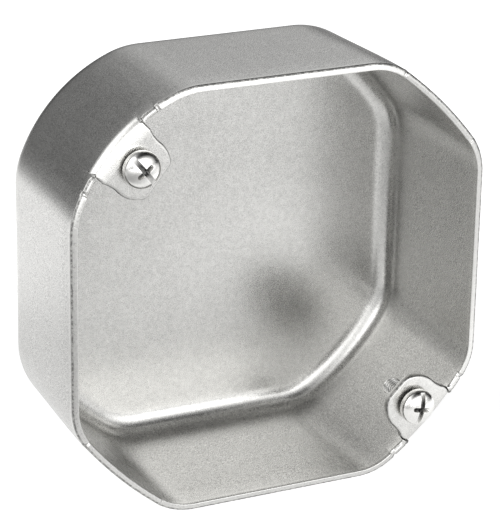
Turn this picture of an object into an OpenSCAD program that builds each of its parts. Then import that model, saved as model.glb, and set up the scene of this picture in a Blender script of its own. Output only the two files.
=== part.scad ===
// Drawn steel octagonal junction box, 4 inches across its corners and 1-1/2 inches deep.
// One sheet makes the back, the walls and two ears that are bent in from the rim.
// Each ear holds one cover screw, and the two screws stand 3-1/2 inches apart.
// The box stands on its lower flat side and opens towards -Y, with +Z up.
// Origin: the centre of the outside of the back. Units: millimetres.

/* [Box] */
// Width and height over the flat sides
across_flats = 92.2; // [91:0.1:94]
// Depth from the outside of the back to the rim
box_depth = 38.1; // [32:0.1:54]
// Thickness of the steel
sheet = 1.5; // [1.2:0.1:2]
// Outside radius of the rounded edge between the back and the walls
back_edge_r = 6.1; // [4:0.1:9]
// How far each wall leans in at the back
wall_lean = 0.7; // [0:0.1:1.2]

/* [Plain corners: upper right and lower left] */
// Distance from the centre to the middle of the slanted side
plain_reach = 50.8; // [50:0.1:51.4]
// Radius where a flat side turns into the slanted side
plain_vertex_r = 14; // [10:0.5:18]
// Angle that this radius turns through, in degrees
plain_vertex_turn = 38; // [34:0.5:40]

/* [Upper left corner] */
// Distance from the centre to the middle of the slanted side
upper_reach = 52; // [51.4:0.1:52.4]
// Radius where a flat side turns into the slanted side
upper_vertex_r = 17; // [14:0.5:20]
// Angle that this radius turns through, in degrees
upper_vertex_turn = 21; // [18:0.5:26]

/* [Lower right corner] */
// Distance from the centre to the middle of the slanted side
lower_reach = 51; // [50.6:0.1:51.6]
// Radius where a flat side turns into the slanted side
lower_vertex_r = 13; // [10:0.5:16]
// Angle that this radius turns through, in degrees
lower_vertex_turn = 34; // [30:0.5:37]

/* [Ears] */
// Distance between the axes of the two cover screws
screw_spacing = 88.9; // [87.5:0.1:90]
// Width of an ear
ear_width = 12.8; // [11:0.1:14]
// How much wider the ear is on each side where it leaves the wall
ear_flare = 0.7; // [0:0.1:1]
// Length of the ear beyond the screw's axis
ear_end = 5.8; // [4.5:0.1:6]
// Outside radius of the bend from the wall into the ear
ear_bend_r = 2.1; // [1.8:0.1:2.6]
// Angle between the line through both ears and the box's diagonal, in degrees
ear_turn = 0.7; // [0:0.1:1.5]
// Width of the cut on each side of an ear
notch_width = 0.3; // [0.2:0.1:1]
// Depth of these cuts below the rim
notch_depth = 2.7; // [2.7:0.1:5]

/* [Cover screws] */
// Diameter of the screw over its thread
shank_d = 4.1; // [3.6:0.1:4.4]
// Length of the screw under its head
shank_length = 11.4; // [8:0.1:16]
// Diameter of the head
head_d = 7.7; // [7:0.1:8.4]
// Height of the head
head_height = 3; // [2.6:0.1:3.4]
// Height of the straight edge of the head
head_edge = 1; // [0.3:0.1:1.2]
// Gap left between the head and the ear
head_gap = 0.8; // [0.1:0.1:2]
// Radial clearance between the screw and the hole in the ear
thread_clearance = 0.06; // [0.02:0.01:0.1]
// Width of the driver slot
slot_width = 1.1; // [0.9:0.1:1.4]
// Depth of the driver slot below the top of the head
slot_depth = 1.4; // [1:0.1:1.8]
// Span of the cross recess at right angles to the slot
cross_span = 3.9; // [3:0.1:4.6]
// Width of an arm of the cross recess
cross_width = 0.9; // [0.6:0.1:1.1]
// Depth of the cross recess below the top of the head
cross_depth = 1.9; // [1.5:0.1:2.2]
// Direction of the upper screw's slot, in degrees from horizontal
upper_slot_angle = -52; // [-90:1:90]
// Direction of the lower screw's slot, in degrees from horizontal
lower_slot_angle = 80; // [-90:1:90]

/* [Hidden] */

half_width = across_flats / 2;
screw_reach = screw_spacing / 2;
upper_ear_angle = 135 + ear_turn;
lower_ear_angle = 315 + ear_turn;
ear_base = ear_width + 2 * ear_flare;
arc_step = 4;         // largest turn of one straight piece of an outline, in degrees
edge_step = 15;       // turn between two rings round the back edge, in degrees
dome_step = 9;        // turn between two rings of a screw's domed head, in degrees
seam = 0.05;          // the ear's sheet lies this far inside both faces of the wall
seam_lap = 0.8;       // how far the ear's sheet runs down into the wall
upright = notch_depth + seam_lap + 1;   // the walls begin to lean this far below the rim
over = 1;             // how far a cutting solid stands out of what it cuts
tip_chamfer = 0.5;

// A corner is [reach, vertex radius, vertex turn].
PLAIN = [plain_reach, plain_vertex_r, plain_vertex_turn];
UPPER = [upper_reach, upper_vertex_r, upper_vertex_turn];
LOWER = [lower_reach, lower_vertex_r, lower_vertex_turn];
CORNERS = [PLAIN, UPPER, PLAIN, LOWER];

// Radius of the slanted side that meets both vertex arcs and, through them, both flat sides.
function side_r(corner) =
    let (reach = corner[0], vertex_r = corner[1], c = cos(corner[2]))
    (half_width - vertex_r * (1 - c) - reach * cos(45)) / (c - cos(45));

// Points along an arc about centre, from one angle to another.
function arc(centre, r, from, to) =
    let (steps = max(1, ceil(abs(to - from) / arc_step)))
    [for (i = [0 : steps])
        let (a = from + (to - from) * i / steps)
        centre + r * [cos(a), sin(a)]];

// One corner of the box's outline, from the right flat side round to the upper one.
function corner_outline(corner, inset) =
    let (
        vertex_r = corner[1],
        turn = corner[2],
        r = side_r(corner),
        side_centre = (corner[0] - r) * [cos(45), sin(45)],
        first = side_centre + (r - vertex_r) * [cos(turn), sin(turn)],
        second = [first.y, first.x],
        side = arc(side_centre, r - inset, turn, 90 - turn)
    )
    concat(
        arc(first, vertex_r - inset, 0, turn),
        [for (i = [1 : len(side) - 2]) side[i]],
        arc(second, vertex_r - inset, 90 - turn, 90)
    );

function turned(p, a) = [p.x * cos(a) - p.y * sin(a), p.x * sin(a) + p.y * cos(a)];

// The whole outline, anticlockwise, moved in from the outside of the wall by inset.
function outline(inset) =
    [for (i = [0 : 3]) for (p = corner_outline(CORNERS[i], inset)) turned(p, 90 * i)];

// Rings of the shell as [height above the back, inset]: up the outside and down the inside.
function shell_rings() =
    let (
        inner_r = back_edge_r - sheet,
        edge = [back_edge_r, back_edge_r + wall_lean],
        bend = box_depth - upright
    )
    concat(
        [for (a = [90 : -edge_step : 0]) edge - back_edge_r * [sin(a), cos(a)]],
        [[bend, 0], [box_depth, 0], [box_depth, sheet], [bend, sheet]],
        [for (a = [0 : edge_step : 90]) edge - inner_r * [sin(a), cos(a)]]
    );

// Back and walls as one drawn pan, lying on its back with the rim up.
module pan() {
    rings = shell_rings();
    count = len(outline(0));
    last = len(rings) - 1;
    polyhedron(
        points = [for (ring = rings) for (p = outline(ring[1])) [p.x, p.y, ring[0]]],
        faces = concat(
            [[for (j = [0 : count - 1]) j]],
            [for (k = [0 : last - 1]) for (j = [0 : count - 1])
                let (next = (j + 1) % count)
                [k * count + j, (k + 1) * count + j, (k + 1) * count + next, k * count + next]],
            [[for (j = [count - 1 : -1 : 0]) last * count + j]]
        )
    );
}

// Room for one ear's bend and the notches on each side of it, cut out of the rim.
module ear_opening(corner, angle) {
    width = ear_base + 2 * notch_width;
    rotate([0, 0, angle])
        translate([corner[0] - ear_bend_r, -width / 2, box_depth - notch_depth])
            cube([ear_bend_r + over, width, notch_depth + over]);
}

// Section of the bend and the ear. x is the distance from the centre of the slanted side's arc.
function ear_section(outer, inner_end) =
    let (
        thick = sheet - 2 * seam,
        bend = [outer - ear_bend_r, box_depth - ear_bend_r],
        foot = box_depth - notch_depth - seam_lap
    )
    concat(
        [[inner_end, box_depth - thick]],
        arc(bend, ear_bend_r - thick, 90, 0),
        [[outer - thick, foot], [outer, foot]],
        arc(bend, ear_bend_r, 0, 90),
        [[inner_end, box_depth]]
    );

// Outline of an ear seen from the front, pointing along +x from the centre of the box.
module ear_outline(corner) {
    r = ear_width / 2;
    clip = acos(ear_end / r);
    axis = [screw_reach, 0];
    base = corner[0] + over;
    bend = corner[0] - ear_bend_r;
    polygon(concat(
        [[base, ear_base / 2], [bend, ear_base / 2], [bend - 2 * ear_flare, r]],
        arc(axis, r, 90, 180 - clip),
        arc(axis, r, 180 + clip, 270),
        [[bend - 2 * ear_flare, -r], [bend, -ear_base / 2], [base, -ear_base / 2]]
    ));
}

// One ear: bent in from the wall, round-ended with a flat tip, and drilled for its screw.
module ear(corner, angle) {
    r = side_r(corner);
    centre = corner[0] - r;
    half_turn = asin(ear_base / 2 / (r - ear_bend_r)) + 2;
    inner_end = screw_reach - ear_end - over - centre;
    rotate([0, 0, angle])
        difference() {
            intersection() {
                translate([centre, 0, 0])
                    rotate([0, 0, -half_turn])
                        rotate_extrude(angle = 2 * half_turn, $fn = 180)
                            polygon(ear_section(r - seam, inner_end));
                translate([0, 0, box_depth - notch_depth - over])
                    linear_extrude(notch_depth + 2 * over) ear_outline(corner);
            }
            translate([screw_reach, 0, box_depth - notch_depth])
                cylinder(d = shank_d + 2 * thread_clearance, h = notch_depth + over, $fn = 48);
        }
}

// Turns what is built lying on its back so that it stands and opens towards -Y.
module stood_up() {
    rotate([90, 0, 0]) children();
}

module box_shell() {
    color([0.74, 0.74, 0.72])
        stood_up() {
            difference() {
                pan();
                ear_opening(UPPER, upper_ear_angle);
                ear_opening(LOWER, lower_ear_angle);
            }
            ear(UPPER, upper_ear_angle);
            ear(LOWER, lower_ear_angle);
        }
}

// Section of a screw about its axis, with the underside of the head at height 0.
function screw_section() =
    let (head_r = head_d / 2, rise = head_height - head_edge)
    concat(
        [
            [0, -shank_length],
            [shank_d / 2 - tip_chamfer, -shank_length],
            [shank_d / 2, tip_chamfer - shank_length],
            [shank_d / 2, 0],
            [head_r, 0]
        ],
        [for (a = [0 : dome_step : 90]) [head_r * cos(a), head_edge + rise * sin(a)]]
    );

// One round-head screw with a straight slot and a cross recess.
module cover_screw(ear_angle, slot_angle) {
    color([0.8, 0.8, 0.79])
        stood_up()
            rotate([0, 0, ear_angle])
                translate([screw_reach, 0, box_depth + head_gap])
                    rotate([0, 0, slot_angle - ear_angle])
                        difference() {
                            rotate_extrude($fn = 64) polygon(screw_section());
                            recess(head_d + 2 * over, slot_width, slot_depth);
                            recess(cross_span, cross_width, cross_depth);
                            rotate([0, 0, 90]) recess(cross_span, cross_width, cross_depth);
                        }
}

// A straight cut of the given length, width and depth into the top of a head.
module recess(length, width, depth) {
    translate([-length / 2, -width / 2, head_height - depth])
        cube([length, width, depth + over]);
}

module upper_cover_screw() {
    cover_screw(upper_ear_angle, upper_slot_angle);
}

module lower_cover_screw() {
    cover_screw(lower_ear_angle, lower_slot_angle);
}

box_shell();
upper_cover_screw();
lower_cover_screw();
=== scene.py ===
import math
from collections import namedtuple

import bmesh
import bpy
import numpy as np
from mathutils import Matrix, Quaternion, Vector


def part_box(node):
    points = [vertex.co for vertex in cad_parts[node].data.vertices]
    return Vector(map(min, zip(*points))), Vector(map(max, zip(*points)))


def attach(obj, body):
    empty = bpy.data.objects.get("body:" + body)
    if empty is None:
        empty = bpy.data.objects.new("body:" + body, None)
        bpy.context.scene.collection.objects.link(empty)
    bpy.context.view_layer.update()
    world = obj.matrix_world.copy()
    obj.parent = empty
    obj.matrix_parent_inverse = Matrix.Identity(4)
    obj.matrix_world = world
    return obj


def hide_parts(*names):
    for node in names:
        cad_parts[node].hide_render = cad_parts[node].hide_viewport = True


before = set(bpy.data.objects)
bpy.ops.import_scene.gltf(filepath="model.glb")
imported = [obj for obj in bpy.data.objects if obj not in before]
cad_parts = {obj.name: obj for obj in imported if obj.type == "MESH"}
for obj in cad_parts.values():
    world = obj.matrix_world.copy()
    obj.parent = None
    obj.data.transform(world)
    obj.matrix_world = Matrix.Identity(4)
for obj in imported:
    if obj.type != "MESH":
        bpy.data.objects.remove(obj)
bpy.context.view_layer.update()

# Lengths are in millimetres in the flat frame, in which the box lies on its back: x to the right,
# y up, z from the back to the rim. to_row() turns flat points into metres in the row frame.
MM = 0.001
BOX_LOW, BOX_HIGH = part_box("box_shell")
HALF_WIDTH = BOX_HIGH.x / MM
RIM = -BOX_LOW.y / MM

# The sheet.
SHEET = 1.5
HALF_SHEET = SHEET / 2
BACK_EDGE_R = 6.1       # outside radius between the back and the walls
WALL_LEAN = 0.7         # how far each wall leans in at the back
LEAN_TOP = RIM - 4.5    # where it begins to lean
OUTLINE_BLEND = (2, RIM - 6)    # heights between which the back's outline turns into the rim's
SHEET_VALUE = 0.58      # reflectance
SHEET_ROUGHNESS = 0.27

# Its cut edges. Each has one radius on the side it was punched from and one on the other.
OUTER_EDGE_R = 0.4
INNER_EDGE_R = 0.2
RIM_TILT = 10           # the rim's cut face slopes outwards, in degrees, but not between die marks
EAR_EDGE_R = 0.45       # on the front of the ears
HOLE_R = 2.11           # of the plain holes in the ears
HOLE_EDGE_R = 0.12
WORN_EDGE_R = 0.75      # inside the rim, between each cut and its nick
CUT_EDGE_R = 0.06       # in the narrow cuts beside the ears
CUT_EDGE = (CUT_EDGE_R, CUT_EDGE_R, 0)
NOTCH_BOTTOM = RIM - 2.4        # the height at which these cuts end
RIM_END_R = 0.2         # rounding of the rim's corner beside a cut
NICK_DEPTH = 0.3        # of the nick that the trimming die left at each side of an ear
NICK_WIDTH = 0.3
DRAWN_IN = 0.2          # how far forming the ear drew in the rim between the cut and the nick
DRAGGED_IN = 0.35       # and how much further its corner at the cut
DRAGGED_LENGTH = 1.1
DIE_MARK = 11.6         # from the diagonal, where the die left a mark across a plain corner's rim
DIE_MARK_DEPTH = 0.25
DIE_MARK_WIDTH = 0.22
TRIMMED_IN = 0.1        # between these marks the rim stands a little further in
TRIMMED_EDGE_R = 0.25   # and its inner edge is rounder by this much

# How finely the wall and the ears are divided.
ROW_STEP = 1.6
LAST_EVEN_ROW = 26.0    # above it the rows follow the uneven heights at which the cuts end
EAR_COLUMNS = 23


# ---------------------------------------------------------------- small helpers
def smooth(x, low, high):
    """0 below low, 1 above high, and a smooth step between."""
    t = np.clip((x - low) / (high - low), 0, 1)
    return t * t * (3 - 2 * t)


def direction(degrees):
    """Unit vector at this angle from x, anticlockwise."""
    a = math.radians(degrees)
    return np.array([math.cos(a), math.sin(a)])


def turned(p, degrees):
    """The point turned anticlockwise about the origin."""
    c, s = direction(degrees)
    return np.array([p[0] * c - p[1] * s, p[0] * s + p[1] * c])


def to_row(points):
    """Flat frame, in millimetres, to the row frame, in metres."""
    p = np.asarray(points, float)
    return np.column_stack([p[:, 0], -p[:, 2], p[:, 1]]) * MM


def linked(name, data):
    """A new object in the scene, of this mesh or camera."""
    obj = bpy.data.objects.new(name, data)
    bpy.context.scene.collection.objects.link(obj)
    return obj


def mesh_object(name, points, faces, materials, face_materials):
    mesh = bpy.data.meshes.new(name)
    mesh.from_pydata(to_row(points).tolist(), [], faces)
    mesh.validate()
    for material in materials:
        mesh.materials.append(material)
    mesh.polygons.foreach_set("material_index", face_materials)
    mesh.shade_smooth()
    return linked(name, mesh)


# ---------------------------------------------------------------- outline of the box
class Corner:
    """One corner of the outline, before it is turned into its quarter: a slanted side that is
    part of a large circle, between two arcs that run into the flat sides."""

    def __init__(self, reach, vertex_r, turn):
        """The slanted side's middle is this far out, and each arc has this radius and turns by
        this many degrees."""
        self.reach, self.vertex_r, self.turn = reach, vertex_r, turn
        c = math.cos(math.radians(turn))
        half = math.cos(math.radians(45))
        self.side_r = (HALF_WIDTH - vertex_r * (1 - c) - reach * half) / (c - half)
        self.side_centre = (reach - self.side_r) * direction(45)
        self.first = self.side_centre + (self.side_r - vertex_r) * direction(turn)
        self.half_side = self.side_r * math.sin(math.radians(45 - turn))

    def at(self, part, share):
        """Point and outward normal. Share runs from 0 to 1 along a vertex arc, and from
        -1 to 1 across the slanted side."""
        if part == "first":
            n = direction(self.turn * share)
            return self.first + self.vertex_r * n, n
        if part == "second":
            n = direction(90 - self.turn * (1 - share))
            return self.first[::-1] + self.vertex_r * n, n
        across = share * self.half_side
        n = direction(45 + math.degrees(math.asin(across / self.side_r)))
        return self.side_centre + self.side_r * n, n


class Ear:
    """The ear of one corner. Across is measured from the box's diagonal, and along from the
    centre of the box outwards."""

    base_half = 7.1        # half width where it is cut free of the wall
    bend_r = 2.1           # outside radius of the bend
    crease = 47.8          # where the flat is level with the rim, from the box's centre
    tilt = 5               # slope of the sheet between the bend and the crease, in degrees
    notch_r = 0.1          # half the width of the cuts beside the ear, which end round
    nick = 3.9             # from the cut to the nick left by the trimming die
    flare_power = 2.2      # how late the sides of the flat flare out to the bend
    cut_power = 50         # how sharply the ear's round meets the flat cut across its end

    def __init__(self, quarter, corner, screw, half_width, reach, end, end_turn):
        """The ear is round, reaches this far past the screw's axis, and has a flat cut across it at
        the distance end, turned by end_turn degrees."""
        self.half_width, self.reach, self.end, self.end_turn = half_width, reach, end, end_turn
        low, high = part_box(screw)
        centre = np.array([low.x + high.x, low.z + high.z]) / 2 / MM
        self.quarter, self.corner = quarter, corner
        self.along, self.across = turned(centre, -45 - 90 * quarter)
        self.notch_centre = self.base_half + self.notch_r
        self.notch_end = self.base_half + 2 * self.notch_r

    def flat_point(self, along, across):
        return turned([along, across], 45 + 90 * self.quarter)

    def wall_at(self, across):
        """How far out the wall stands."""
        r = self.corner.side_r
        return self.corner.reach - r + math.sqrt(r * r - across * across)

    def bend_centre(self, across):
        """Centre of the bend, as how far along and how high."""
        c, s = direction(90 - self.tilt)
        along = self.wall_at(across) - self.bend_r
        slope = (along + self.bend_r * c - self.crease) * math.tan(math.radians(self.tilt))
        return along, RIM - slope - self.bend_r * s


# The corners at the rim and at the back, anticlockwise from the upper right one.
FRONT_CORNERS = [Corner(50.8, 14, 38), Corner(52, 17, 21), Corner(50.8, 14, 38), Corner(51, 13, 34)]
BACK_CORNERS = [Corner(50.8, 18, 36), Corner(52, 19, 22), Corner(50.8, 18, 36), Corner(51, 17, 33)]
EARS = {
    1: Ear(1, FRONT_CORNERS[1], "upper_cover_screw", half_width=6.45, reach=7.2, end=5.7, end_turn=7),
    3: Ear(3, FRONT_CORNERS[3], "lower_cover_screw", half_width=6.4, reach=6.4, end=5.8, end_turn=0),
}


def ear_side_stations(ear, corner):
    """Distances from the diagonal at which the slanted side of an ear's corner gets a column,
    each with its tag: rim, notch or ear. They are close together at the cuts and the nicks."""
    edge = [ear.notch_end + RIM_END_R * (1 - math.cos(a)) for a in np.linspace(0, math.pi / 2, 6)]
    nick = ear.notch_end + ear.nick
    outer = list(edge) + list(np.linspace(edge[-1] + 0.35, nick - 0.9, 6))
    outer += list(np.linspace(nick - 0.6, nick + 0.6, 9))
    last = corner.half_side * 0.999
    outer += list(np.arange(nick + 1.2, last - 0.5, 0.9))
    half_turn = np.linspace(-math.pi / 2, math.pi / 2, 7)
    notch = [ear.notch_centre + ear.notch_r * math.sin(a) for a in half_turn]
    inner = list(np.linspace(-ear.base_half, ear.base_half, EAR_COLUMNS))
    stations = [(-d, "rim") for d in reversed(outer)]
    stations += [(-d, "notch") for d in reversed(notch[1:-1])]
    stations += [(d, "ear") for d in inner]
    stations += [(d, "notch") for d in notch[1:-1]]
    stations += [(d, "rim") for d in outer]
    return [(d + ear.across, tag) for d, tag in stations if abs(d + ear.across) < last]


# Columns along a corner's arc, closer together at the die's mark.
ARC_SHARES = np.union1d(np.linspace(0, 1, 11), np.linspace(0.84, 0.98, 9))


# A column of the wall: where it stands on the front and the back outline, the outward normals
# there, its quarter, its distance from the diagonal (None away from an ear's slanted side), and its
# tag: ear, notch for a cut beside an ear, or rim.
Column = namedtuple("Column", "front front_normal back back_normal quarter across tag")


def outline_columns():
    """Every column of the wall, anticlockwise from the right flat side."""
    columns = []
    for quarter in range(4):
        front, back = FRONT_CORNERS[quarter], BACK_CORNERS[quarter]
        stops = [("first", s, None, "rim") for s in ARC_SHARES]
        if quarter in EARS:
            side = ear_side_stations(EARS[quarter], front)
            stops += [("side", d / front.half_side, d, tag) for d, tag in side]
        else:
            stops += [("side", s, None, "rim") for s in np.linspace(-1, 1, 19)[1:-1]]
        stops += [("second", s, None, "rim") for s in (1 - ARC_SHARES)[::-1]]
        for part, share, across, tag in stops:
            places = [turned(v, 90 * quarter) for v in front.at(part, share) + back.at(part, share)]
            columns.append(Column(*places, quarter, across, tag))
        after = (quarter + 1) % 4
        ends = [turned(c.at("second", 1)[0], 90 * quarter) for c in (front, back)]
        starts = [turned(c.at("first", 0)[0], 90 * (quarter + 1))
                  for c in (FRONT_CORNERS[after], BACK_CORNERS[after])]
        normal = turned([0, 1], 90 * quarter)
        for s in np.linspace(0, 1, 31)[1:-1]:
            p = ends[0] + (starts[0] - ends[0]) * s
            pb = ends[1] + (starts[1] - ends[1]) * s
            columns.append(Column(p, normal, pb, normal, quarter, None, "rim"))
    return columns


# ---------------------------------------------------------------- the drawn sheet
class Sheet:
    """The middle surface of the sheet, as points and faces. Where there is a cut edge, each point
    also has its edge's rounding on the outer and the inner side, and its slope in degrees."""

    def __init__(self):
        self.points, self.faces, self.edges = [], [], []

    def add(self, point, edge=(OUTER_EDGE_R, INNER_EDGE_R, 0)):
        self.points.append(list(point))
        self.edges.append(edge)
        return len(self.points) - 1

    def bridge(self, lower, upper, closed=False):
        """Faces between two rows of points of equal length."""
        count = len(lower)
        for j in range(count if closed else count - 1):
            k = (j + 1) % count
            self.faces.append([lower[j], lower[k], upper[k], upper[j]])


class Wall:
    """The columns round the wall of a sheet, and rows of points on them."""

    def __init__(self, sheet):
        self.sheet = sheet
        self.columns = outline_columns()
        self.count = len(self.columns)
        self.outlines = [np.array([c[i] for c in self.columns]) for i in range(4)]
        self.across = [c.across for c in self.columns]
        self.tags = [c.tag for c in self.columns]
        self.ears = [None if c.across is None else EARS[c.quarter] for c in self.columns]

    def ring(self, height, inset):
        """One row round the wall. Height may differ from column to column."""
        front, front_normal, back, back_normal = self.outlines
        z = np.broadcast_to(np.asarray(height, float), (self.count,))
        share = smooth(z, *OUTLINE_BLEND)[:, None]
        n = back_normal + (front_normal - back_normal) * share
        n /= np.linalg.norm(n, axis=1)[:, None]
        lean = WALL_LEAN * np.clip((LEAN_TOP - z) / (LEAN_TOP - BACK_EDGE_R), 0, 1)
        p = back + (front - back) * share - n * (inset + lean[:, None])
        return [self.sheet.add([x, y, h]) for (x, y), h in zip(p, z)]

    def bridge(self, rows):
        """Faces between each row and the next, all the way round."""
        for lower, upper in zip(rows, rows[1:]):
            self.sheet.bridge(lower, upper, closed=True)


def build_sheet():
    """The whole sheet: the back, the wall, the rim and the two ears."""
    sheet = Sheet()
    wall = Wall(sheet)
    back_edge = build_back(sheet, wall)
    top, shoulder = build_wall(sheet, wall, back_edge)
    build_rim(sheet, wall, top, shoulder)
    for quarter, ear in EARS.items():
        members = [j for j, c in enumerate(wall.columns) if c.tag == "ear" and c.quarter == quarter]
        build_ear(sheet, ear, [shoulder[j] for j in members], [wall.across[j] for j in members])
    return sheet


def build_back(sheet, wall):
    """The back, from its middle out to its rounded edge, and that edge. Returns the last row."""
    edge = wall.ring(HALF_SHEET, BACK_EDGE_R)
    edge_points = [sheet.points[i] for i in edge]
    centre = sheet.add([0, 0, HALF_SHEET])
    rows = []
    for share in np.linspace(0, 1, 27)[1:-1]:
        rows.append([sheet.add([x * share, y * share, z]) for x, y, z in edge_points])
    rows.append(edge)
    mid_r = BACK_EDGE_R - HALF_SHEET
    for a in np.linspace(90, 0, 13)[1:]:
        c, s = direction(a)
        rows.append(wall.ring(BACK_EDGE_R - mid_r * s, BACK_EDGE_R - mid_r * c))
    for j in range(wall.count):
        sheet.faces.append([centre, rows[0][(j + 1) % wall.count], rows[0][j]])
    wall.bridge(rows)
    return rows[-1]


def build_wall(sheet, wall, back_edge):
    """The wall, up to the row at which the cuts end and the ears begin to bend. Returns that row's
    heights and its points."""
    top = np.array([shoulder_height(*at) for at in zip(wall.ears, wall.across, wall.tags)])
    heights = list(np.arange(BACK_EDGE_R + ROW_STEP, LAST_EVEN_ROW + 0.1, ROW_STEP))
    last = heights[-1]
    heights += [last + (top - last) * share for share in np.linspace(0, 1, 8)[1:]]
    rows = [back_edge] + [wall.ring(height, HALF_SHEET) for height in heights]
    wall.bridge(rows)
    for j, i in enumerate(rows[-1]):
        beside = wall.tags[j - 1], wall.tags[(j + 1) % wall.count]
        if wall.tags[j] != "rim" or "notch" in beside:
            sheet.edges[i] = CUT_EDGE
    return top, rows[-1]


def build_rim(sheet, wall, top, shoulder):
    """The rim's strips, one from each ear round to the next."""
    from_diagonal = [abs(turned(c.front, -45 - 90 * c.quarter)[1]) for c in wall.columns]
    plain = [c.quarter not in EARS for c in wall.columns]
    marks = np.array([math.exp(-((d - DIE_MARK) / DIE_MARK_WIDTH) ** 2) for d in from_diagonal])
    marks *= plain
    within = np.array([1 - smooth(d, DIE_MARK - 0.2, DIE_MARK + 0.2) for d in from_diagonal])
    within *= plain
    stations = list(zip(wall.ears, wall.across))
    rim = np.array([rim_height(*at) for at in stations]) - DIE_MARK_DEPTH * marks
    pushed = np.array([rim_inset(*at) for at in stations]) + TRIMMED_IN * within
    rows = [shoulder]
    for share in (0.3, 0.58, 1.0):
        row = wall.ring(top + (rim - top) * share, HALF_SHEET + (pushed * share)[:, None])
        for j, i in enumerate(row):
            outer_r, inner_r, slope = rim_edge(*stations[j], share)
            if share == 1:
                inner_r += TRIMMED_EDGE_R * within[j]
            sheet.edges[i] = (outer_r, inner_r, slope * (1 - within[j]))
        rows.append(row)
    for lower, upper in zip(rows, rows[1:]):
        for j in range(wall.count):
            k = (j + 1) % wall.count
            if wall.tags[j] == wall.tags[k] == "rim":
                sheet.faces.append([lower[j], lower[k], upper[k], upper[j]])


def shoulder_height(ear, across, tag):
    """Height of the row at which the ears begin to bend and the cuts beside them end."""
    if ear is None or tag == "rim":
        return NOTCH_BOTTOM + Ear.notch_r
    if tag == "ear":
        return ear.bend_centre(across)[1]
    x = (abs(across - ear.across) - ear.notch_centre) / ear.notch_r
    return NOTCH_BOTTOM + ear.notch_r * (1 - math.sqrt(max(0, 1 - x * x)))


def rim_height(ear, across):
    """The rim is level, but rounds down into the cuts and has a nick on either side of them."""
    if ear is None:
        return RIM
    d = abs(across - ear.across) - ear.notch_end
    height = RIM
    if d < RIM_END_R:
        height -= RIM_END_R - math.sqrt(max(0, RIM_END_R ** 2 - (RIM_END_R - d) ** 2))
    return height - NICK_DEPTH * math.exp(-((d - ear.nick) / NICK_WIDTH) ** 2)


def rim_inset(ear, across):
    """Forming the ear has drawn the rim beside it in a little, as far as the nick, and has dragged
    the corner at the cut along with the bend."""
    if ear is None:
        return 0.0
    d = abs(across - ear.across) - ear.notch_end
    drawn_in = DRAWN_IN * (1 - smooth(d, ear.nick - 0.2, ear.nick + 0.3))
    return drawn_in + DRAGGED_IN * (1 - smooth(d, 0, DRAGGED_LENGTH))


def opened(outer_r, inner_r, share):
    """Radii of a cut edge that grow with share from those in the narrow cuts to these."""
    return [CUT_EDGE_R + (r - CUT_EDGE_R) * share for r in (outer_r, inner_r)]


def rim_edge(ear, across, share):
    """Rounding of the cut edge: slight in the cuts, and wide inside the rim beside them."""
    if ear is None:
        return OUTER_EDGE_R, INNER_EDGE_R, RIM_TILT
    d = abs(across - ear.across) - ear.notch_end
    if share < 1:
        return CUT_EDGE
    from_cut = smooth(d, 0, 0.7)
    worn = 1 - smooth(d, ear.nick - 0.3, ear.nick + 0.1)
    inner = INNER_EDGE_R + (WORN_EDGE_R - INNER_EDGE_R) * worn
    return *opened(OUTER_EDGE_R, inner, from_cut), RIM_TILT * from_cut


def build_ear(sheet, ear, base, across):
    """The bend and the flat of one ear, from the points of the wall that it grows out of."""
    previous = base
    turns = list(np.linspace(0, 90 - ear.tilt, 9)[1:]) + [90]     # 90 stands for the crease
    mid_r = ear.bend_r - HALF_SHEET
    for k, angle in enumerate(turns):
        c, s = direction(min(angle, 90 - ear.tilt))
        radii = (*opened(OUTER_EDGE_R, INNER_EDGE_R, smooth(k, 0, 4)), 0)
        row = []
        for a in across:
            along, height = ear.bend_centre(a)
            if angle == 90:
                place, z = ear.crease, RIM - HALF_SHEET
            else:
                place, z = along + mid_r * c, height + mid_r * s
            x, y = ear.flat_point(place, a)
            row.append(sheet.add([x, y, z], radii))
        sheet.bridge(previous, row)
        previous = row
    build_ear_flat(sheet, ear, previous)


def ear_outline(ear):
    """Outline of the flat from one end of the crease round to the other, measured from the screw's
    axis. The sides curve out to the width of the bend."""
    side = []
    for share in np.linspace(1, 0, 14)[1:-1]:
        flare = (ear.base_half - ear.half_width) * share ** ear.flare_power
        side.append(((ear.crease - ear.along) * share, ear.half_width + flare))
    end = []
    for a in np.linspace(90, -90, 48):
        c, s = direction(a)
        flat = ear.end / max(math.cos(math.radians(a + ear.end_turn)), 1e-6)
        beside = ear.half_width + (ear.reach - ear.half_width) * c
        radius = (beside ** -ear.cut_power + flat ** -ear.cut_power) ** (-1 / ear.cut_power)
        end.append((-radius * c, radius * s))
    return side + end + [(along, -across) for along, across in reversed(side)]


def build_ear_flat(sheet, ear, crease_row):
    """The flat of the ear, as rings from its outline in to its hole."""
    outer = list(crease_row)
    for along, across in ear_outline(ear):
        x, y = ear.flat_point(ear.along + along, ear.across + across)
        outer.append(sheet.add([x, y, RIM - HALF_SHEET], (EAR_EDGE_R, INNER_EDGE_R, 0)))
    axis = np.array(ear.flat_point(ear.along, ear.across))
    previous = outer
    for share in (0.84, 0.66, 0.48, 0.3, 0.14, 0):
        row = []
        for i in outer:
            offset = np.array(sheet.points[i][:2]) - axis
            length = np.linalg.norm(offset)
            p = axis + offset / length * (HOLE_R + (length - HOLE_R) * share)
            row.append(sheet.add([p[0], p[1], RIM - HALF_SHEET], (HOLE_EDGE_R, HOLE_EDGE_R, 0)))
        sheet.bridge(previous, row, closed=True)
        previous = row


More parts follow.
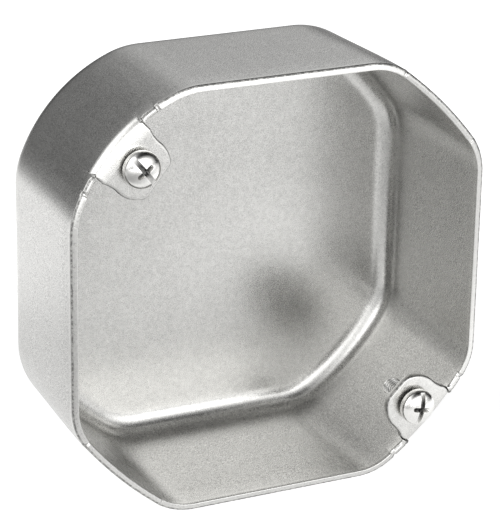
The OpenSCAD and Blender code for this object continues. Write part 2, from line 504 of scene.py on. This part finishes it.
def boundary_loops(faces):
    """The open edges of the surface as closed loops of points, with the surface on their left."""
    following, seen = {}, set()
    for face in faces:
        for a, b in zip(face, face[1:] + face[:1]):
            seen.add((a, b))
    for a, b in seen:
        if (b, a) not in seen:
            following[a] = b
    loops = []
    while following:
        loop = [min(following)]
        while following.get(loop[-1]) is not None:
            step = following.pop(loop[-1])
            if step == loop[0]:
                break
            loop.append(step)
        loops.append(loop)
    return loops


def point_normals(points, faces):
    """The unit normal at each point, from the faces round it."""
    normals = np.zeros_like(points)
    for face in faces:
        p = points[face]
        if len(face) > 3:
            n = np.cross(p[2] - p[0], p[3] - p[1])
        else:
            n = np.cross(p[1] - p[0], p[2] - p[0])
        for i in face:
            normals[i] += n
    return normals / np.maximum(np.linalg.norm(normals, axis=1), 1e-12)[:, None]


def thicken(sheet):
    """The closed skin of the sheet: its two faces and, round every open edge, a cut edge with
    rounded corners. Returns points, faces, the material of each face, and for each point its
    place across the cut edge, from 0 on the outer side to 1 on the inner."""
    middle = np.array(sheet.points, float)
    normals = point_normals(middle, sheet.faces)
    count = len(middle)
    outer = middle + normals * HALF_SHEET
    inner = middle - normals * HALF_SHEET
    points = list(outer) + list(inner)
    faces = [list(f) for f in sheet.faces]
    faces += [[i + count for i in reversed(f)] for f in sheet.faces]
    materials = [0] * len(faces)
    places = [0.0] * count + [1.0] * count
    for loop in boundary_loops(sheet.faces):
        rows = []
        for k, i in enumerate(loop):
            ahead, behind = middle[loop[(k + 1) % len(loop)]], middle[loop[k - 1]]
            n = normals[i]
            outer_r, inner_r, slope = sheet.edges[i]
            out = np.cross(ahead - behind, n)
            out /= np.linalg.norm(out)
            lower = SHEET * math.tan(math.radians(slope))
            outer_centre = outer[i] - out * (outer_r + lower) - n * outer_r
            inner_centre = inner[i] - out * inner_r + n * inner_r
            points[i] = outer_centre + n * outer_r
            points[i + count] = inner_centre - n * inner_r
            row = [i]
            turns = [(outer_centre, outer_r, a) for a in (65, 38, slope)]
            turns += [(inner_centre, inner_r, a) for a in (slope, -30, -60)]
            for centre, r, a in turns:
                c, s = direction(a)
                points.append(centre + r * (out * c + n * s))
                places.append(float((outer[i] - points[-1]) @ n) / SHEET)
                row.append(len(points) - 1)
            row.append(i + count)
            rows.append(row)
        for here, there in zip(rows, rows[1:] + rows[:1]):
            for k in range(len(here) - 1):
                faces.append([there[k], here[k], here[k + 1], there[k + 1]])
                materials.append(1)
    return np.array(points), faces, materials, places


# ---------------------------------------------------------------- the cover screws
HEAD_R = 3.85
HEAD_HEIGHT = 3.0
HEAD_EDGE = 1.0         # height of the head's straight side
HEAD_DOME = HEAD_HEIGHT - HEAD_EDGE
HEAD_CORNER_R = 0.25    # rounding under the head
HEAD_GAP = 0.8          # between the head and the ear, at rest
SLOT_WIDTH = 1.04
SLOT_DEPTH = 1.25
CROSS_LENGTH = 4.2
CROSS_WIDTH = 1.05
CROSS_DEPTH = 2
CROSS_TAPER = 0.55      # size of the cross at its bottom, as a share of its size at its top
WORN_WIDTH = 0.07       # of the head's worn edges
SHANK_R = 2.05
SHANK_LENGTH = 11.4
SHANK_TOP = 0.27        # inside the head
CREST_R = SHANK_R - 0.02
THREAD_DEPTH = 0.42
PITCH = 0.794           # 32 threads to the inch
RUN_OUT = (-1.6, -0.5)  # heights between which the thread ends, under the head
TIP_LENGTH = 0.55
TIP_SLOPE = 0.9


def lathe(profile, sides):
    """A closed turned solid. At each angle the profile gives radii and heights, from the bottom of
    the axis to its top."""
    points, faces, rows = [], [], []
    angles = [360 * j / sides for j in range(sides)]
    profiles = [profile(angle) for angle in angles]
    for k in range(len(profiles[0])):
        row = []
        on_axis = k in (0, len(profiles[0]) - 1)
        for j in range(1 if on_axis else sides):
            r, z = profiles[j][k]
            c, s = direction(angles[j])
            row.append(len(points))
            points.append((r * c, r * s, z))
        rows.append(row)
    for lower, upper in zip(rows, rows[1:]):
        for j in range(sides):
            k = (j + 1) % sides
            corners = ((lower, j), (lower, k), (upper, k), (upper, j))
            face = [row[i % len(row)] for row, i in corners]
            faces.append([i for n, i in enumerate(face) if i not in face[:n]])
    return points, faces


def head_profile(angle):
    """A round head: its flat underside, the rounding there, its straight side and its dome. It is
    the same at every angle."""
    flat_r = HEAD_R - HEAD_CORNER_R
    rows = [(0, 0), (1.2, 0), (2.6, 0)]
    rows += [(flat_r + HEAD_CORNER_R * math.sin(math.radians(a)),
              HEAD_CORNER_R * (1 - math.cos(math.radians(a)))) for a in (0, 30, 60, 90)]
    rows += [(HEAD_R, HEAD_EDGE / 2)]
    for a in np.linspace(0, 90, 22):
        c, s = direction(a)
        rows.append((HEAD_R * c if a < 90 else 0, HEAD_EDGE + HEAD_DOME * s))
    return rows


def shank_profile(angle):
    """Rows about 0.1 mm apart up the shank, in and out of the thread's groove. None of them lies
    in the plane of the head's underside."""
    rows = [(0, -SHANK_LENGTH)]
    for z in np.linspace(-SHANK_LENGTH, SHANK_TOP, 118):
        turn = (z / PITCH - angle / 360) % 1
        groove = 1 - smooth(abs(turn - 0.5), 0.06, 0.42)
        groove *= 1 - smooth(z, *RUN_OUT)
        tip = max(0, TIP_LENGTH - (z + SHANK_LENGTH)) * TIP_SLOPE
        rows.append((CREST_R - max(tip, THREAD_DEPTH * groove), z))
    return rows + [(0, SHANK_TOP)]


def prism(outline, top, bottom, taper):
    """A cutter: the outline at its top, drawn in towards the axis by a factor at its bottom."""
    count = len(outline)
    points = [(x, y, top) for x, y in outline]
    points += [(x * taper, y * taper, bottom) for x, y in outline]
    faces = [list(range(count)), list(range(2 * count - 1, count - 1, -1))]
    faces += [[j, j + count, (j + 1) % count + count, (j + 1) % count] for j in range(count)]
    return points, faces


def solid(points, faces):
    """A closed object whose faces look outwards."""
    mesh = bpy.data.meshes.new("cutter")
    mesh.from_pydata([tuple(p) for p in points], [], faces)
    work = bmesh.new()
    work.from_mesh(mesh)
    bmesh.ops.recalc_face_normals(work, faces=work.faces)
    work.to_mesh(mesh)
    work.free()
    return linked("cutter", mesh)


def applied(obj):
    """The object's mesh with its modifiers applied. The object itself is removed."""
    bpy.context.view_layer.update()
    depsgraph = bpy.context.evaluated_depsgraph_get()
    mesh = bpy.data.meshes.new_from_object(obj.evaluated_get(depsgraph))
    bpy.data.objects.remove(obj)
    return mesh


def combined(base, other, operation):
    """base joined with other, or with other cut out of it. Both are used up."""
    cut = base.modifiers.new(operation, "BOOLEAN")
    cut.operation = operation
    cut.solver = "MANIFOLD"
    cut.object = other
    mesh = applied(base)
    bpy.data.objects.remove(other)
    return linked("cutter", mesh)


def arm_outline(length, width):
    """One arm of the cross recess, with round ends."""
    ends = []
    for side in (0, 180):
        for a in np.linspace(-90, 90, 9):
            ends.append(turned([length / 2 - width / 2, 0] + width / 2 * direction(a), side))
    return ends


def sunk_below_skin(radius, height):
    """0 on the head and the thread's crests, up to 1 deep in a recess or a groove."""
    if height > SHANK_TOP + 0.03:
        skin = HEAD_EDGE + HEAD_DOME * math.sqrt(max(0, 1 - (radius / HEAD_R) ** 2))
        return min(1, max(0, (skin - height - 0.1) / 0.9)) if radius < HEAD_R - 0.1 else 0
    return min(1, max(0, (SHANK_R - radius) / THREAD_DEPTH)) if radius < SHANK_R else 0


def build_screw(name, ear_name, slot_angle, material):
    """One screw: its head, with its slot, cross and worn edges, and its shank. It stands where the
    CAD node called ear_name does."""
    low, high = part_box(ear_name)
    head = solid(*lathe(head_profile, 72))
    half, past_head = SLOT_WIDTH / 2, 5
    slot = [(-past_head, -half), (past_head, -half), (past_head, half), (-past_head, half)]
    cutter = prism(slot, HEAD_HEIGHT + 1, HEAD_HEIGHT - SLOT_DEPTH, 1)
    head = combined(head, solid(*cutter), "DIFFERENCE")
    for angle in (0, 90):
        arm = [turned(p, angle) for p in arm_outline(CROSS_LENGTH, CROSS_WIDTH)]
        cutter = prism(arm, HEAD_HEIGHT, HEAD_HEIGHT - CROSS_DEPTH, CROSS_TAPER)
        head = combined(head, solid(*cutter), "DIFFERENCE")
    bevel = head.modifiers.new("worn edges", "BEVEL")
    bevel.width = WORN_WIDTH
    bevel.segments = 2
    bevel.limit_method = "ANGLE"
    bevel.angle_limit = math.radians(35)
    head = linked("cutter", applied(head))
    screw = combined(head, solid(*lathe(shank_profile, 48)), "UNION")
    mesh = screw.data
    axis = [(low.x + high.x) / 2, (low.z + high.z) / 2]
    from_axis = [math.hypot(v.co.x, v.co.y) for v in mesh.vertices]
    # How deep each point lies in a recess or in the thread's groove. The zinc material uses this to
    # paint shade into the colour.
    sunk = [sunk_below_skin(r, v.co.z) for r, v in zip(from_axis, mesh.vertices)]
    for attribute, values in (("from_axis", from_axis), ("sunk", sunk)):
        mesh.attributes.new(attribute, "FLOAT", "POINT").data.foreach_set("value", values)
    for v in mesh.vertices:
        x, y = turned([v.co.x, v.co.y], slot_angle)
        v.co = (axis[0] + x * MM, (-RIM - HEAD_GAP - v.co.z) * MM, axis[1] + y * MM)
    mesh.materials.clear()
    mesh.materials.append(material)
    mesh.shade_smooth()
    work = bmesh.new()
    work.from_mesh(mesh)
    bmesh.ops.recalc_face_normals(work, faces=work.faces)
    for edge in work.edges:
        edge.smooth = edge.calc_face_angle(0) < math.radians(38)
    work.to_mesh(mesh)
    work.free()
    screw.name = name
    return screw


# ---------------------------------------------------------------- camera
def add_camera():
    """The picture's view: from the left and above, aimed a little beside the box's middle.
    Distances are in millimetres and angles in degrees."""
    camera = linked("camera", bpy.data.cameras.new("camera"))
    azimuth, elevation, roll = -25.43, 21.67, 1.01
    distance = 537.05
    offset_right, offset_up = 1.41, -1.13
    c, s = direction(azimuth)
    ce, se = direction(elevation)
    back = Vector((s * ce, -c * ce, se))
    turn = (-back).to_track_quat("-Z", "Y")
    turn = turn @ Quaternion((0, 0, 1), math.radians(roll))
    right, up = turn @ Vector((1, 0, 0)), turn @ Vector((0, 1, 0))
    aim = Vector((0, -RIM / 2, 0)) + right * offset_right + up * offset_up
    camera.location = (aim + back * distance) * MM
    camera.rotation_mode = "QUATERNION"
    camera.rotation_quaternion = turn
    camera.data.lens = 173.9
    camera.data.sensor_width = 36
    camera.data.clip_start, camera.data.clip_end = 0.01, 100
    bpy.context.scene.camera = camera


# ---------------------------------------------------------------- materials
class Graph:
    """A node tree, with short ways to add the nodes used here."""

    def __init__(self, tree):
        self.tree = tree
        tree.nodes.clear()

    def node(self, kind, values=None, **settings):
        node = self.tree.nodes.new("ShaderNode" + kind)
        for key, value in settings.items():
            setattr(node, key, value)
        for key, value in (values or {}).items():
            if isinstance(value, bpy.types.NodeSocket):
                self.tree.links.new(value, node.inputs[key])
            else:
                node.inputs[key].default_value = value
        return node

    def math(self, operation, *values):
        return self.node("Math", dict(enumerate(values)), operation=operation).outputs[0]

    def steps(self, value, low, high, start=0.0, end=1.0):
        """A smooth step from start to end as the value goes from low to high."""
        ends = {"From Min": low, "From Max": high, "To Min": start, "To Max": end}
        node = self.node("MapRange", {"Value": value, **ends}, interpolation_type="SMOOTHSTEP")
        return node.outputs[0]

    def place(self, stretch=(1, 1, 1)):
        """Where a point is, in millimetres, stretched along the row frame's axes."""
        here = self.node("TexCoord").outputs["Object"]
        scale = [1 / MM / n for n in stretch]
        return self.node("Mapping", {"Vector": here, "Scale": scale}).outputs[0]

    def noise(self, where, size, detail=2.0, distortion=0.0):
        """Noise about 0.5 whose blotches are about this size, in millimetres."""
        node = self.node("TexNoise", {"Vector": where, "Scale": 1 / size, "Detail": detail,
                                      "Distortion": distortion})
        return node.outputs[0]

    def attribute(self, name):
        return self.node("Attribute", attribute_name=name).outputs["Fac"]

    def grey(self, value):
        """The value as a grey with the faint warmth of zinc."""
        warm = [self.math("MULTIPLY", value, share) for share in (1.0, 0.994, 0.97)]
        return self.node("CombineColor", dict(enumerate(warm))).outputs[0]

    def finish(self, value, roughness, height, relief):
        """A metal of this brightness and roughness, with its relief in millimetres."""
        bump = self.node("Bump", {"Height": height, "Distance": relief * MM, "Strength": 1.0})
        metal = self.node("BsdfPrincipled", {"Base Color": self.grey(value), "Metallic": 1.0,
                                             "Roughness": roughness, "Normal": bump.outputs[0]})
        self.node("OutputMaterial", {"Surface": metal.outputs[0]})


def new_graph(name):
    material = bpy.data.materials.new(name)
    material.use_nodes = True
    return material, Graph(material.node_tree)


def total(graph, base, *terms):
    """base plus each weight times its value about 0.5."""
    value = base
    for weight, term in terms:
        centred = graph.math("SUBTRACT", term, 0.5)
        value = graph.math("MULTIPLY_ADD", centred, weight, value)
    return value


def galvanised_material():
    """Drawn sheet: a fine crystalline grain, stronger on the walls, faint clouds, and streaks where
    the walls were drawn. The ears and the rim are a little brighter."""
    material, g = new_graph("galvanised_sheet")
    here = g.place()
    grain = g.noise(here, 0.22, 2.0)
    spangle = g.noise(here, 0.9, 3.0)
    clouds = g.noise(here, 9, 3.0, 0.6)
    drawn = g.noise(g.place((1, 14, 1)), 0.8, 3.0)
    depth = g.node("SeparateXYZ", {0: here}).outputs["Y"]
    off_back = g.steps(depth, -11, -6, 1.0, 0.0)
    on_wall = g.math("MULTIPLY", off_back, g.steps(depth, 1.3 - RIM, 2.7 - RIM))
    streak = g.math("MULTIPLY_ADD", g.math("SUBTRACT", drawn, 0.5), on_wall, 0.5)
    on_ears = g.steps(depth, 0.9 - RIM, 1.7 - RIM, 0.1, 0.0)
    weight = g.math("MULTIPLY_ADD", on_wall, 0.65, 0.52)
    base = g.math("ADD", on_ears, SHEET_VALUE)
    value = total(g, base, (weight, grain), (0.2, spangle), (0.06, clouds), (0.10, streak))
    roughness = total(g, SHEET_ROUGHNESS, (0.16, grain), (0.08, clouds), (0.10, streak))
    height = total(g, 0.0, (1.6, grain), (1.6, spangle), (1.2, streak))
    g.finish(value, roughness, height, 0.006)
    return material


def cut_edge_material():
    """Sheared edge: smooth and bright on the inner part, torn and darker on the outer third, more
    so in places."""
    material, g = new_graph("cut_edge")
    here = g.place()
    across = g.attribute("across_edge")
    mottle = g.noise(here, 0.35, 3.0)
    pits = g.noise(here, 0.18, 2.0)
    tears = g.noise(here, 0.5, 2.0)
    torn = g.math("SUBTRACT", g.steps(across, 0.02, 0.08), g.steps(across, 0.26, 0.34))
    shade = g.math("MULTIPLY", torn, g.steps(tears, 0.4, 0.58, 0.16, 0.42))
    lip = g.steps(across, 0.8, 0.95)
    value = g.math("SUBTRACT", total(g, 0.64, (0.25, mottle), (0.2, pits)), shade)
    value = g.math("MULTIPLY_ADD", lip, 0.1, value)
    roughness = g.math("MULTIPLY_ADD", torn, 0.2, total(g, 0.3, (0.2, mottle)))
    height = total(g, 0.0, (0.8, mottle), (1.0, pits))
    g.finish(value, roughness, height, 0.02)
    return material


def zinc_material():
    """Bright zinc plate: turning marks round the head, and painted shade that darkens its recesses
    and its thread.
    """
    material, g = new_graph("zinc_screw")
    here = g.place()
    radius = g.attribute("from_axis")
    painted_recess_shade = g.attribute("sunk")
    rings = g.math("SINE", g.math("MULTIPLY", radius, 34.0))
    scuffs = g.noise(here, 0.3, 3.0)
    value = total(g, 0.82, (0.2, scuffs))
    # Painted shade: the colour darkens by up to 0.8 of itself with depth below the surface, in the
    # recesses and in the thread's groove.
    value = g.math("MULTIPLY_ADD", g.math("MULTIPLY", painted_recess_shade, value), -0.8, value)
    roughness = g.math("MULTIPLY_ADD", painted_recess_shade, 0.2, total(g, 0.2, (0.25, scuffs)))
    height = total(g, g.math("MULTIPLY", rings, 0.12), (1.0, scuffs))
    g.finish(value, roughness, height, 0.008)
    return material


# ---------------------------------------------------------------- studio
# Soft lights round the object: azimuth from the front round by the right, elevation, width of the
# glow, all in degrees, and strength.
SOFT_LIGHTS = [
    (15, 16, 13.5, 3.35),       # softbox in front
    (345, 16, 13.5, 1.95),      # its left end
    (45, 16, 13.5, 1.15),       # its right end
    (300, 27, 13.5, 3.0),       # softbox, front left
    (270, 50, 15.5, 1.9),       # high softbox, left
    (270, 6, 13.5, 1.2),        # low bounce, left
    (150, 27, 13.5, 0.9),       # bounce, right behind
    (180, 50, 15.5, 0.5),       # high bounce, behind
    (210, 27, 13.5, 0.2),       # bounce, left behind
    (210, 6, 13.5, 0.15),       # low bounce, left behind
]
# Light that the floor gives off, as pools: distance from the object in millimetres, how gradually
# it fades (in e-folds of distance), azimuth (None all round) and strength.
FLOOR_POOLS = [
    (70, 0.3, None, 0.7),       # round the object
    (110, 0.25, 25, 0.15),      # close in front
    (120, 0.35, 180, 1.4),      # close behind
    (120, 0.35, 60, 1.15),      # close in front, right
    (250, 0.5, 180, 0.7),       # behind
    (250, 0.5, 120, 0.7),       # behind, right
    (250, 0.5, 240, 0.6),       # behind, left
    (250, 0.5, 60, 0.55),       # in front, right
    (1000, 0.8, 0, 3.2),        # far in front
]
FAR = 1000              # a pool this far out goes on to the floor's edge
POOL_TURN = 2.5         # how quickly a pool fades to its sides
FLOOR_SEEN = 0.8        # the floor looks at least this bright, whatever it reflects into the metal


def studio_world():
    """The soft lights. To the camera the world is white."""
    world = bpy.data.worlds.new("studio")
    world.use_nodes = True
    g = Graph(world.node_tree)
    toward = g.node("VectorMath", {0: g.node("TexCoord").outputs["Generated"]},
                    operation="NORMALIZE").outputs[0]
    light = 0.0
    for azimuth, elevation, width, strength in SOFT_LIGHTS:
        (c, s), (ce, se) = direction(azimuth), direction(elevation)
        facing = g.node("VectorMath", {0: toward, 1: (s * ce, -c * ce, se)},
                        operation="DOT_PRODUCT").outputs["Value"]
        sharpness = 1 / math.radians(width) ** 2
        glow = g.math("EXPONENT", g.math("MULTIPLY_ADD", facing, sharpness, -sharpness))
        light = g.math("MULTIPLY_ADD", glow, strength, light)
    seen = g.node("LightPath").outputs["Is Camera Ray"]
    level = g.math("MAXIMUM", light, seen)
    colour = g.node("CombineColor", {0: level, 1: level, 2: level}).outputs[0]
    background = g.node("Background", {"Color": colour})
    g.node("OutputWorld", {"Surface": background.outputs[0]})
    bpy.context.scene.world = world


def floor_glow(g):
    """How much light the floor gives off at a point."""
    here = g.node("SeparateXYZ", {0: g.place()})
    x, y = here.outputs["X"], here.outputs["Y"]
    distance = g.math("SQRT", g.math("MULTIPLY_ADD", x, x, g.math("MULTIPLY", y, y)))
    azimuth = g.math("ARCTAN2", x, g.math("MULTIPLY", y, -1.0))
    folds = g.math("LOGARITHM", distance, math.e)
    light = 0.0
    for pool_distance, fade, pool_azimuth, strength in FLOOR_POOLS:
        t = g.math("DIVIDE", g.math("SUBTRACT", folds, math.log(pool_distance)), fade)
        if pool_azimuth is None:
            t = g.math("MAXIMUM", t, 0.0)
        if pool_distance >= FAR:
            t = g.math("MINIMUM", t, 0.0)
        glow = g.math("EXPONENT", g.math("MULTIPLY", g.math("MULTIPLY", t, t), -1.0))
        if pool_azimuth is not None:
            turn = g.math("COSINE", g.math("SUBTRACT", azimuth, math.radians(pool_azimuth)))
            side = g.math("EXPONENT", g.math("MULTIPLY_ADD", turn, POOL_TURN, -POOL_TURN))
            glow = g.math("MULTIPLY", glow, side)
        light = g.math("MULTIPLY_ADD", glow, strength, light)
    return light


def floor_material():
    """A white floor that lights the object, and looks plain and pale to the camera."""
    material, g = new_graph("floor_white")
    here = g.place()
    cloth = g.noise(here, 40, 2.0)
    level = total(g, 0.5, (0.02, cloth))
    white = g.node("CombineColor", {0: level, 1: level, 2: level}).outputs[0]
    diffuse = g.node("BsdfDiffuse", {"Color": white})
    seen = g.math("MULTIPLY", g.node("LightPath").outputs["Is Camera Ray"], FLOOR_SEEN)
    glow = g.node("Emission", {"Strength": g.math("MAXIMUM", floor_glow(g), seen)})
    both = g.node("AddShader", {0: diffuse.outputs[0], 1: glow.outputs[0]})
    g.node("OutputMaterial", {"Surface": both.outputs[0]})
    return material


def add_floor():
    size, z = 3000, BOX_LOW.z / MM
    corners = [(-size, size), (-size, -size), (size, -size), (size, size)]
    mesh = bpy.data.meshes.new("floor")
    mesh.from_pydata([(x * MM, y * MM, z * MM) for x, y in corners], [], [(0, 1, 2, 3)])
    mesh.materials.append(floor_material())
    floor = linked("floor", mesh)


# ---------------------------------------------------------------- putting it together
add_camera()
studio_world()
add_floor()
points, faces, face_materials, places = thicken(build_sheet())
sheet_metals = [galvanised_material(), cut_edge_material()]
shell = mesh_object("drawn_shell", points, faces, sheet_metals, face_materials)
shell.data.attributes.new("across_edge", "FLOAT", "POINT").data.foreach_set("value", places)
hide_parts("box_shell")
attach(shell, "box")

zinc = zinc_material()
for name, node, body, slot_angle in (
        ("upper_round_head_screw", "upper_cover_screw", "upper_screw", -52),
        ("lower_round_head_screw", "lower_cover_screw", "lower_screw", 80)):
    screw = build_screw(name, node, slot_angle, zinc)
    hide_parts(node)
    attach(screw, body)

bpy.context.scene.view_settings.view_transform = "Standard"
